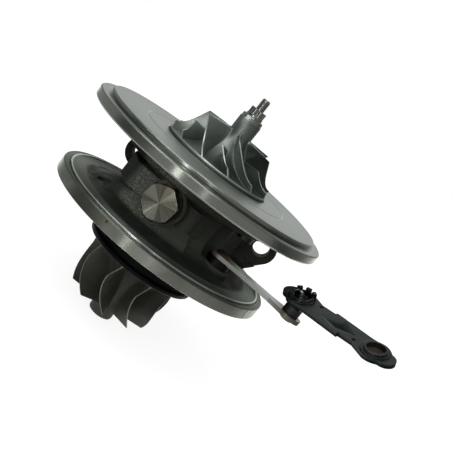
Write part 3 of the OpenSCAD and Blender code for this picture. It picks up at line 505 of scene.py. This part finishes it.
FINISHES = {
    "bearing_housing": cast_housing(),
    "back_plate": plate_finish(),
    "back_plate_screws": plain_metal("black_screws", (0.05, 0.05, 0.05), rough=0.4),
    "back_plate_o_ring": plain_metal("o_ring_rubber", (0.011, 0.011, 0.011), rough=0.6, metallic=NOT_METAL),
    "journal_bearing": turned_metal("bronze_sleeve", BRONZE, rough=0.3),
    "bearing_pin": turned_metal("pin_steel", GROUND_STEEL, rough=0.3),
    "thrust_bearing": turned_metal("bronze_disc", BRONZE, rough=0.3),
    "oil_deflector": plain_metal("deflector_sheet", PALE_STEEL, rough=0.35),
    "heat_shield": turned_metal("blued_shield", (0.009, 0.0105, 0.01), rough=0.55, turn=0.3),
    "turbine_piston_ring": turned_metal("hot_ring_steel", (0.3, 0.3, 0.28), rough=0.35),
    "compressor_piston_ring": turned_metal("cold_ring_steel", PALE_STEEL, rough=0.35),
    "hex_plug": plug_finish(),
    "plug_washer": washer_finish(),
    # The bush under the lever, painted near-black as shade
    "crank_bush": turned_metal("bush_steel", (0.035, 0.032, 0.028), rough=0.45, turn=0.4,
                               centre=(*LEVER_PIVOT.xy, 0)),
    "rotor_shaft": turned_metal("ground_shaft", (0.4, 0.415, 0.4), rough=0.2, turn=0.8, depth=0.002),
    "turbine_wheel": cast_turbine(),
    "thrust_collar": turned_metal("collar_steel", GROUND_STEEL, rough=0.25),
    "oil_flinger": turned_metal("flinger_steel", GROUND_STEEL, rough=0.25),
    "compressor_wheel": milled_alloy("milled_wheel", (0.31, 0.338, 0.322), rough=0.4),
    "shaft_nut": plain_metal("nut_steel", (0.36, 0.37, 0.345), rough=0.2, grain=0.5, depth=0.002,
                             rounded=0.12),
    "crank_shaft": plain_metal("crank_steel", (0.2, 0.12, 0.07), rough=0.5),
    "control_lever": lever_finish(),
    "crank_arm": plain_metal("arm_steel", (0.12, 0.115, 0.1), rough=0.45),
    "crank_pin": turned_metal("crank_pin_steel", (0.4, 0.38, 0.34), rough=0.3),
    "ball_stud": plain_metal("stud_steel", (0.03, 0.032, 0.03), rough=0.2),
    "stud_boot": plain_metal("boot_rubber", (0.00792, 0.0088, 0.0084), rough=0.45, metallic=NOT_METAL),
    "link_bar": link_finish(),
    "lever_end_socket": plain_metal("lever_socket_black", (0.0066, 0.0077, 0.0077), rough=0.2,
                                    metallic=NOT_METAL),
    "actuator_end_socket": plain_metal("actuator_socket_black", (0.0088, 0.0099, 0.0099), rough=0.24,
                                       metallic=NOT_METAL),
}

for name, finish in FINISHES.items():
    nodes[name].data.materials.clear()
    nodes[name].data.materials.append(finish.material)


# Pieces

def piece(name, mesh, body, finishes):
    """A new object on a body, with its finishes."""
    made = bpy.data.objects.new(name, mesh)
    bpy.context.scene.collection.objects.link(made)
    for finish in finishes:
        mesh.materials.append(finish.material)
    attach(made, body)
    return made


ROUND_STEPS = 144
SMALL_STEPS = 48


class Solid:
    """A mesh grown from points in millimetres."""

    def __init__(self):
        self.work = bmesh.new()

    def point(self, radius, turn, height):
        return self.work.verts.new((radius * math.cos(turn) * MM, radius * math.sin(turn) * MM, height * MM))

    def face(self, corners, material=0):
        made = self.work.faces.new(corners)
        made.material_index = material

    def grid(self, rows):
        """Faces over rows of points."""
        for a, b in zip(rows, rows[1:]):
            for k in range(len(a) - 1):
                self.face((a[k], a[k + 1], b[k + 1], b[k]))

    def revolve(self, profile, steps=ROUND_STEPS, material=0):
        """A surface of revolution about the shaft from radius and height pairs. Radius 0 is one point."""
        rows = []
        for radius, height in profile:
            if radius > 0:
                rows.append([self.point(radius, 2 * math.pi * k / steps, height) for k in range(steps)])
            else:
                rows.append([self.point(0, 0, height)])
        for a, b in zip(rows, rows[1:]):
            for k in range(steps):
                n = (k + 1) % steps
                if len(a) == 1:
                    self.face((a[0], b[n], b[k]), material)
                elif len(b) == 1:
                    self.face((a[k], a[n], b[0]), material)
                else:
                    self.face((a[k], a[n], b[n], b[k]), material)

    def mesh(self, name, sharp_angle=40):
        """The finished mesh, shaded smooth but for edges over the angle in degrees."""
        bmesh.ops.recalc_face_normals(self.work, faces=self.work.faces)
        made = bpy.data.meshes.new(name)
        self.work.to_mesh(made)
        self.work.free()
        for polygon in made.polygons:
            polygon.use_smooth = True
        made.set_sharp_from_angle(angle=math.radians(sharp_angle))
        return made


BLADE_STATIONS = 40
BLADE_SPANS = 14
BLADE_SHARP_ANGLE = 50
NOSE_SHARE = 0.05
NOSE_THIN = 0.35
FILLET_POWER = 2.5
SAME_POINT = 1e-7

# Places of the finishes in a wheel's list, after its own at 0
TIP_FINISH = 1
NOSE_FINISH = 2
HUB_FINISH = 3


def add_blade(solid, place, half_t, first_turn, start=0.0):
    """A closed blade. place(m, s) gives radius, turn in degrees and height; half_t(s) the half thickness."""
    sides = []
    for side in (-1, 1):
        rows = []
        for i in range(BLADE_STATIONS + 1):
            share = i / BLADE_STATIONS
            m = start + (1 - start) * share
            taper = min(1.0, NOSE_THIN + (1 - NOSE_THIN) * math.sqrt(min(1.0, share / NOSE_SHARE)))
            row = []
            for j in range(BLADE_SPANS + 1):
                s = j / BLADE_SPANS
                radius, turn, height = place(m, s)
                swing = side * half_t(s) * taper / radius
                row.append(solid.point(radius, math.radians(first_turn + turn) + swing, height))
            rows.append(row)
        solid.grid(rows)
        sides.append(rows)
    low, high = sides
    for i in range(BLADE_STATIONS):
        solid.face((low[i][-1], low[i + 1][-1], high[i + 1][-1], high[i][-1]), TIP_FINISH)
        solid.face((low[i][0], high[i][0], high[i + 1][0], low[i + 1][0]))
    for end in (0, BLADE_STATIONS):
        for j in range(BLADE_SPANS):
            solid.face((low[end][j], low[end][j + 1], high[end][j + 1], high[end][j]), TIP_FINISH)


def flared(root_t, tip_t, flare, reach):
    """Half thickness up the span, with a fillet of that flare over that share of the span."""
    def half_t(s):
        fillet = max(0.0, 1 - s / reach)
        return root_t + (tip_t - root_t) * s + flare * fillet ** FILLET_POWER
    return half_t


def sine(m):
    return math.sin(math.pi / 2 * m)


def cosine(m):
    return math.cos(math.pi / 2 * m)


# Compressor wheel, on the same hub and shroud lines as its solid

ROOT_SINK = 0.6
COMP_R = WHEEL_HIGH.x
COMP_Z = WHEEL_LOW.z
COMP_HUB_H = WHEEL_HIGH.z - WHEEL_LOW.z
COMP_NOSE_R = 5.85
COMP_NOSE_STEP = 2.2
COMP_NOSE_IN = 0.3
COMP_NOSE_CHAMFER = 0.5
COMP_BLADE_H = 17.4
COMP_HUB_RISE = 1.0
COMP_EXIT_H = 5.4
COMP_INLET_R = 20.3
COMP_BACK_T = 2.2
COMP_BACK_EDGE = 0.6
COMP_EDGE = 0.2
COMP_WRAP = 43
COMP_WRAP_EASE = 0.6
COMP_RAKE = 6
COMP_FIRST = -87
COMP_BLADES = 6
COMP_BLADE_T = flared(root_t=0.5, tip_t=0.4, flare=0.9, reach=0.16)
SPLITTER_START = 0.34
BORE_R = 2.55


def comp_hub(m):
    """Radius and height of the hub line, from its neck at 0 to its rim at 1."""
    drop = COMP_BLADE_H + COMP_HUB_RISE - COMP_BACK_T
    return COMP_R - (COMP_R - COMP_NOSE_R) * cosine(m), COMP_BACK_T + drop * (1 - sine(m))


def comp_place(m, s):
    """Radius, turn and height of a blade at a share of its length and of its span."""
    exit_r = COMP_R - COMP_EDGE
    hub_r, hub_z = comp_hub(m)
    root_r = min(hub_r, exit_r) - ROOT_SINK * cosine(m)
    root_z = hub_z - ROOT_SINK * sine(m)
    tip_r = exit_r - (exit_r - COMP_INLET_R) * cosine(m)
    tip_z = COMP_EXIT_H + (COMP_BLADE_H - COMP_EXIT_H) * (1 - sine(m))
    turn = COMP_WRAP * ((1 + COMP_WRAP_EASE) * m - COMP_WRAP_EASE * m * m) - COMP_RAKE * s * m
    return root_r + (tip_r - root_r) * s, turn, COMP_Z + root_z + (tip_z - root_z) * s


def compressor_body(solid):
    """The hub with its collar, bore and back disc."""
    hub = [comp_hub(1 - k / BLADE_STATIONS) for k in range(BLADE_STATIONS + 1)]
    top_r = COMP_NOSE_R - COMP_NOSE_IN
    step_z = COMP_HUB_H - COMP_NOSE_STEP
    nose = [(COMP_NOSE_R, step_z), (top_r, step_z + COMP_NOSE_IN),
            (top_r, COMP_HUB_H - COMP_NOSE_CHAMFER), (top_r - COMP_NOSE_CHAMFER, COMP_HUB_H)]
    neck = [*hub, nose[0]]
    collar = [*nose, (BORE_R, COMP_HUB_H), (BORE_R, 0)]
    edge = (COMP_R, COMP_BACK_T - COMP_BACK_EDGE)
    rim = [(BORE_R, 0), (COMP_R - COMP_EDGE, 0), (COMP_R, COMP_EDGE), edge]
    surfaces = ((neck, HUB_FINISH), (collar, NOSE_FINISH), (rim, 0), ((edge, hub[0]), TIP_FINISH))
    for profile, finish in surfaces:
        solid.revolve([(r, COMP_Z + z) for r, z in profile], material=finish)


def compressor_wheel():
    """Full blades and splitters round the hub, with turned tips and collar; the tips' near-white colour is a
    painted highlight, and the hub between the blades is a darker copy of the blades' alloy as painted shade.
    """
    solid = Solid()
    compressor_body(solid)
    pitch = 360 / COMP_BLADES
    for k in range(COMP_BLADES):
        add_blade(solid, comp_place, COMP_BLADE_T, COMP_FIRST + k * pitch)
        add_blade(solid, comp_place, COMP_BLADE_T, COMP_FIRST + (k + 0.5) * pitch, SPLITTER_START)
    bmesh.ops.remove_doubles(solid.work, verts=solid.work.verts, dist=SAME_POINT)
    # Turned tips and disc edge, painted near-white as a highlight
    tips_painted_bright = turned_metal("turned_blade_tips_painted_highlight", (0.88, 0.92, 0.9), rough=0.42, turn=0.3, depth=0.004)
    collar = turned_metal("turned_nose", (0.4, 0.43, 0.405), rough=0.26, depth=0.004)
    # The hub between the blades, a darker copy of the blades' alloy as painted shade
    hub = milled_alloy("milled_hub_painted_shade", (0.235, 0.257, 0.245), rough=0.42)
    mesh = solid.mesh("compressor_wheel_fine", BLADE_SHARP_ANGLE)
    made = piece("compressor_wheel_fine", mesh, "rotor",
                 [FINISHES["compressor_wheel"], tips_painted_bright, collar, hub])
    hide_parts("compressor_wheel")


# Turbine wheel, on the same hub and shroud lines as its solid, measured down from its back

TURB_R = 23.65
TURB_Z = TURBINE_HIGH.z
TURB_LEN = TURBINE_HIGH.z - TURBINE_LOW.z
TURB_NOSE_R = 6.3
TURB_NECK = 0.6
TURB_HUB_R = TURB_R - 1.8
TURB_EXIT_R = 20.7
TURB_BLADE_LEN = 26
TURB_NOSE_START = TURB_BLADE_LEN + 3
TURB_INLET_H = 8.6
TURB_BACK_T = 1.6
TURB_TURN = 24
TURB_TURN_POWER = 2.2
TURB_SHROUD_POWER = 2.6
TURB_RAKE = 8
TURB_FIRST = -108.3
TURB_BLADES = 9
TURB_BLADE_T = flared(root_t=0.7, tip_t=0.26, flare=0.9, reach=0.2)
# The rounded end of the nose: how far in from its side and up from its end
TURB_NOSE_ROUND = ((0, 1.4), (0.4, 0.5), (1.4, 0))


def turb_hub(m):
    """Radius and depth of the hub line, from the back at 0 to the nose at 1."""
    base = TURB_NOSE_R + TURB_NECK
    return base + (TURB_HUB_R - base) * (1 - sine(m)), TURB_BACK_T + TURB_BLADE_LEN * (1 - cosine(m))


def turb_place(m, s):
    """Radius, turn and height of a blade at a share of its length and of its span."""
    hub_r, hub_z = turb_hub(m)
    root_r = hub_r + (TURB_R - TURB_HUB_R) * (1 - sine(m)) ** 3 - ROOT_SINK * sine(m)
    root_z = hub_z - ROOT_SINK * cosine(m)
    tip_r = TURB_R - (TURB_R - TURB_EXIT_R) * m ** TURB_SHROUD_POWER
    tip_z = TURB_INLET_H + (TURB_BLADE_LEN - TURB_INLET_H) * m
    turn = TURB_TURN * m ** TURB_TURN_POWER + TURB_RAKE * (1 - s) * (1 - m) ** 2
    return root_r + (tip_r - root_r) * s, turn, TURB_Z - root_z - (tip_z - root_z) * s


def turbine_wheel():
    """Cast blades round the hub, with ground edges."""
    solid = Solid()
    hub = [turb_hub(k / BLADE_STATIONS) for k in range(BLADE_STATIONS + 1)]
    nose = [(TURB_NOSE_R - inward, TURB_LEN - up) for inward, up in TURB_NOSE_ROUND]
    outline = [(0, 0), (TURB_HUB_R, 0), *hub, (TURB_NOSE_R, TURB_NOSE_START), *nose, (0, TURB_LEN)]
    solid.revolve([(r, TURB_Z - z) for r, z in outline])
    for k in range(TURB_BLADES):
        add_blade(solid, turb_place, TURB_BLADE_T, TURB_FIRST + k * 360 / TURB_BLADES)
    edges = plain_metal("ground_blade_edges", (0.22, 0.21, 0.17), rough=0.45)
    mesh = solid.mesh("turbine_wheel_fine", BLADE_SHARP_ANGLE)
    made = piece("turbine_wheel_fine", mesh, "rotor", [FINISHES["turbine_wheel"], edges])
    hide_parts("turbine_wheel")


# Small turned pieces

THREAD_R = 2.0
THREAD_PITCH = 0.8
THREAD_DEPTH = 0.22
THREAD_CREST = (0.35, 0.55)
THREAD_START = NUT_TOP + 0.3
THREAD_END = SHAFT_TOP - 0.6
THREAD_SHARP_ANGLE = 25
SEAT_R = 4.3
SEAT_T = 0.8


def shaft_thread():
    """Thread ridges round the end of the shaft above its nut."""
    solid = Solid()
    root_r = THREAD_R - THREAD_DEPTH
    crest_r = THREAD_R + THREAD_DEPTH
    profile = [(0, THREAD_START), (root_r, THREAD_START)]
    for k in range(int((THREAD_END - THREAD_START) / THREAD_PITCH)):
        base = THREAD_START + k * THREAD_PITCH
        profile += [(crest_r, base + share * THREAD_PITCH) for share in THREAD_CREST]
        profile.append((root_r, base + THREAD_PITCH))
    solid.revolve([*profile, (0, profile[-1][1])], SMALL_STEPS)
    mesh = solid.mesh("shaft_thread", THREAD_SHARP_ANGLE)
    piece("shaft_thread", mesh, "rotor", [FINISHES["rotor_shaft"]])


def actuator_seat():
    """The closed brown bottom of the ring at the link's far end."""
    far = LINK_BALL + LINK_TURN @ Vector((LINK_LEN, 0, 0))
    solid = Solid()
    solid.revolve([(0, -SEAT_T), (SEAT_R, -SEAT_T), (SEAT_R, 0), (0, 0)], SMALL_STEPS)
    spot = Matrix.Translation(far * MM) @ LINK_TURN.to_4x4()
    bmesh.ops.transform(solid.work, matrix=spot, verts=solid.work.verts)
    brown = plain_metal("brown_seat", (0.05, 0.036, 0.022), rough=0.45, metallic=0.4, grain=0.6, depth=0.08)
    piece("actuator_seat", solid.mesh("actuator_seat"), "link", [brown])


compressor_wheel()
turbine_wheel()
shaft_thread()
actuator_seat()


# Camera, in metres, fitted to the edges of the two discs

PHOTO_PX = 452
FOCAL_PX = 822.43
ELEVATION = math.radians(7.2288)
ROLL = math.radians(38.610)
DISTANCE = 0.38629
AIM_PX = Vector((-12.436, -57.730))
TARGET = Vector((0, 0, 0.04188))
EYE = TARGET + DISTANCE * Vector((0, -math.cos(ELEVATION), math.sin(ELEVATION)))
SENSOR_MM = 36
CLIP_START = 0.01
# Corners of the square picture in order round it, by how far right and up
PICTURE_CORNERS = ((1, 1), (1, -1), (-1, -1), (-1, 1))


def camera_turn():
    """Directions right, up and forward in the picture, rolled as the photograph is and panned by AIM_PX."""
    forward = (TARGET - EYE).normalized()
    right = Vector((1, 0, 0))
    up = right.cross(forward)
    rolled_right = math.cos(ROLL) * right + math.sin(ROLL) * up
    rolled_up = -math.sin(ROLL) * right + math.cos(ROLL) * up
    aim = Vector((AIM_PX.x / FOCAL_PX, -AIM_PX.y / FOCAL_PX, 1)).normalized()
    pan = Vector((0, 0, 1)).rotation_difference(aim).to_matrix()
    return pan @ Matrix((rolled_right, rolled_up, forward))


def camera():
    """A camera on the front side that looks past its target."""
    data = bpy.data.cameras.new("camera")
    data.sensor_width = SENSOR_MM
    data.lens = FOCAL_PX * SENSOR_MM / PHOTO_PX
    data.clip_start = CLIP_START
    made = bpy.data.objects.new("camera", data)
    right, up, forward = camera_turn()
    made.matrix_world = Matrix.Translation(EYE) @ Matrix((right, up, -forward)).transposed().to_4x4()
    bpy.context.scene.collection.objects.link(made)
    bpy.context.scene.camera = made


def view_lines(height):
    """Lines at that height that bound what the camera sees: a level direction inwards and an offset."""
    right, up, forward = camera_turn()
    half = PHOTO_PX / 2 / FOCAL_PX
    corners = [forward + half * (a * right + b * up) for a, b in PICTURE_CORNERS]
    lines = []
    for here, following in zip(corners, corners[1:] + corners[:1]):
        inward = here.cross(following)
        inward *= math.copysign(1, inward.dot(forward))
        level = math.hypot(inward.x, inward.y)
        offset = (inward.dot(EYE) - inward.z * height) / level
        lines.append(((inward.x / level, inward.y / level, 0), offset))
    return lines


# Light, in metres

def heading(degrees):
    """A level direction, by its turn from x towards y."""
    return Vector((math.cos(math.radians(degrees)), math.sin(math.radians(degrees)), 0))


VIEW_SOFTNESS = 0.06
# White reaches out to this many times each line's offset
VIEW_MARGIN = 1.1
# Headings between which the backdrop over the floor's edge is white
BACKDROP_FROM = 70
BACKDROP_TO = 105
BACKDROP_LINES = ((heading(BACKDROP_TO - 90), 0.0), (heading(BACKDROP_FROM + 90), 0.0))
BACKDROP_SOFTNESS = 0.1
BACKDROP_TOP = (0.5, 0.75)
# Darker sides of the room: a heading, the widest and the narrowest cosine, and the depth
DARK_SIDES = ((202, 0.88, 0.985, 0.75), (12, 0.8, 0.99, 0.5))
LIGHT_TINT = (0.97, 1.0, 0.955)
WHITE = (1, 1, 1)
ROOM_TONE = 0.3
CEILING_TONE = 0.24
CEILING_START = (0.35, 0.8)
LEVEL = (1, 1, 0)
LAMP_TARGET = Vector((0, 0, 0.02))
FLOOR_HALF = 3.0
FLOOR_IN_VIEW = (0.3, 0.3, 0.3)
FLOOR_ELSEWHERE = (0.075, 0.075, 0.075)
# The floor glows less near the object, so that its shadow shows there: from and to
SHADOW_REACH = (0.12, 0.4)
SHADOW_GLOW = 0.86


class Room(Nodes):
    """Brightness of the room by direction, for the world and for the floor."""

    def __init__(self, tree, way):
        super().__init__(tree)
        self.way = way

    def along(self, way, direction):
        return self.vector("DOT_PRODUCT", way, direction, output=1)

    def tone(self):
        """Grey of the room, darker at its dark sides."""
        flat = self.vector("NORMALIZE", self.vector("MULTIPLY", self.way, LEVEL))
        dips = [self.step(self.along(flat, heading(turn)), wide, narrow, 1.0, 1.0 - depth)
                for turn, wide, narrow, depth in DARK_SIDES]
        return self.product(*dips, ROOM_TONE)

    def in_view(self, lines, softness):
        """One where the camera looks, falling to zero over the softness outside the lines."""
        shares = []
        for direction, offset in lines:
            edge = offset * VIEW_MARGIN
            shares.append(self.step(self.along(self.way, direction), edge - softness, edge))
        return self.product(*shares)


def world():
    """A white backdrop where the camera looks, with a grey room round it that has a darker ceiling."""
    made = bpy.data.worlds.new("studio")
    bpy.context.scene.world = made
    made.use_nodes = True
    made.node_tree.nodes.clear()
    room = Room(made.node_tree, made.node_tree.nodes.new("ShaderNodeTexCoord").outputs["Generated"])
    height = room.along(room.way, AXIS)
    grey = room.mix(room.step(height, *CEILING_START), room.tone(), CEILING_TONE)
    low_enough = room.step(height, *BACKDROP_TOP, *FADE_OUT)
    white = room.product(room.in_view(BACKDROP_LINES, BACKDROP_SOFTNESS), low_enough)
    glow = room.node("ShaderNodeBackground")
    room.put(glow.inputs["Color"], room.blend(white, LIGHT_TINT, WHITE))
    room.put(glow.inputs["Strength"], room.mix(white, grey, 1.0))
    room.put(room.node("ShaderNodeOutputWorld").inputs["Surface"], glow.outputs[0])


def floor():
    """A white floor under the turbine's nose that keeps the object's soft shadow, grey out of the picture."""
    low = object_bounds()[0].z
    mesh = bpy.data.meshes.new("floor")
    corners = [(x * FLOOR_HALF, y * FLOOR_HALF, low) for x, y in ((-1, -1), (1, -1), (1, 1), (-1, 1))]
    mesh.from_pydata(corners, [], [(0, 1, 2, 3)])
    made = bpy.data.objects.new("floor", mesh)
    bpy.context.scene.collection.objects.link(made)
    finish = Finish("white_floor")
    room = Room(finish.tree, finish.place)
    white = room.in_view(view_lines(low), VIEW_SOFTNESS)
    path = finish.node("ShaderNodeLightPath").outputs
    seen = finish.largest(path["Is Camera Ray"], path["Is Glossy Ray"], path["Is Transmission Ray"])
    away = finish.vector("LENGTH", finish.vector("MULTIPLY", finish.place, LEVEL), output=1)
    bright = finish.step(away, *SHADOW_REACH, SHADOW_GLOW, 1.0)
    finish.set(Base_Color=finish.blend(white, FLOOR_ELSEWHERE, FLOOR_IN_VIEW), Roughness=0.9,
               Specular_IOR_Level=0.0, Emission_Color=WHITE,
               Emission_Strength=finish.product(seen, finish.mix(white, room.tone(), bright)))
    mesh.materials.append(finish.material)
    made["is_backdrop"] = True


def lamp(name, way, distance, width, height, power, mirrored=True):
    """A soft upright rectangle of light on that side of the object, which shiny surfaces mirror or not."""
    data = bpy.data.lights.new(name, "AREA")
    data.shape = "RECTANGLE"
    data.size = width
    data.size_y = height
    data.energy = power
    data.color = LIGHT_TINT
    made = bpy.data.objects.new(name, data)
    made.location = LAMP_TARGET + Vector(way).normalized() * distance
    made.rotation_mode = "QUATERNION"
    made.rotation_quaternion = Vector(way).to_track_quat("Z", "Y")
    made.visible_glossy = mirrored
    bpy.context.scene.collection.objects.link(made)
    made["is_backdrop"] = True


world()
floor()
lamp("strip", way=(-0.326, -0.946, 0.2), distance=0.8, width=0.07, height=0.6, power=0.9)
lamp("thin_strip", way=(0.122, -0.993, 0.2), distance=0.9, width=0.05, height=0.6, power=0.25)
lamp("soft", way=(-0.55, -0.35, 0.76), distance=0.8, width=0.5, height=0.5, power=1.8)
lamp("top", way=(0.0, -0.12, 1.0), distance=0.8, width=0.2, height=0.2, power=0.6)
lamp("fill", way=(0.0, -0.75, 0.65), distance=0.8, width=0.9, height=0.9, power=4.0, mirrored=False)
camera()
bpy.context.scene.view_settings.view_transform = "Standard"
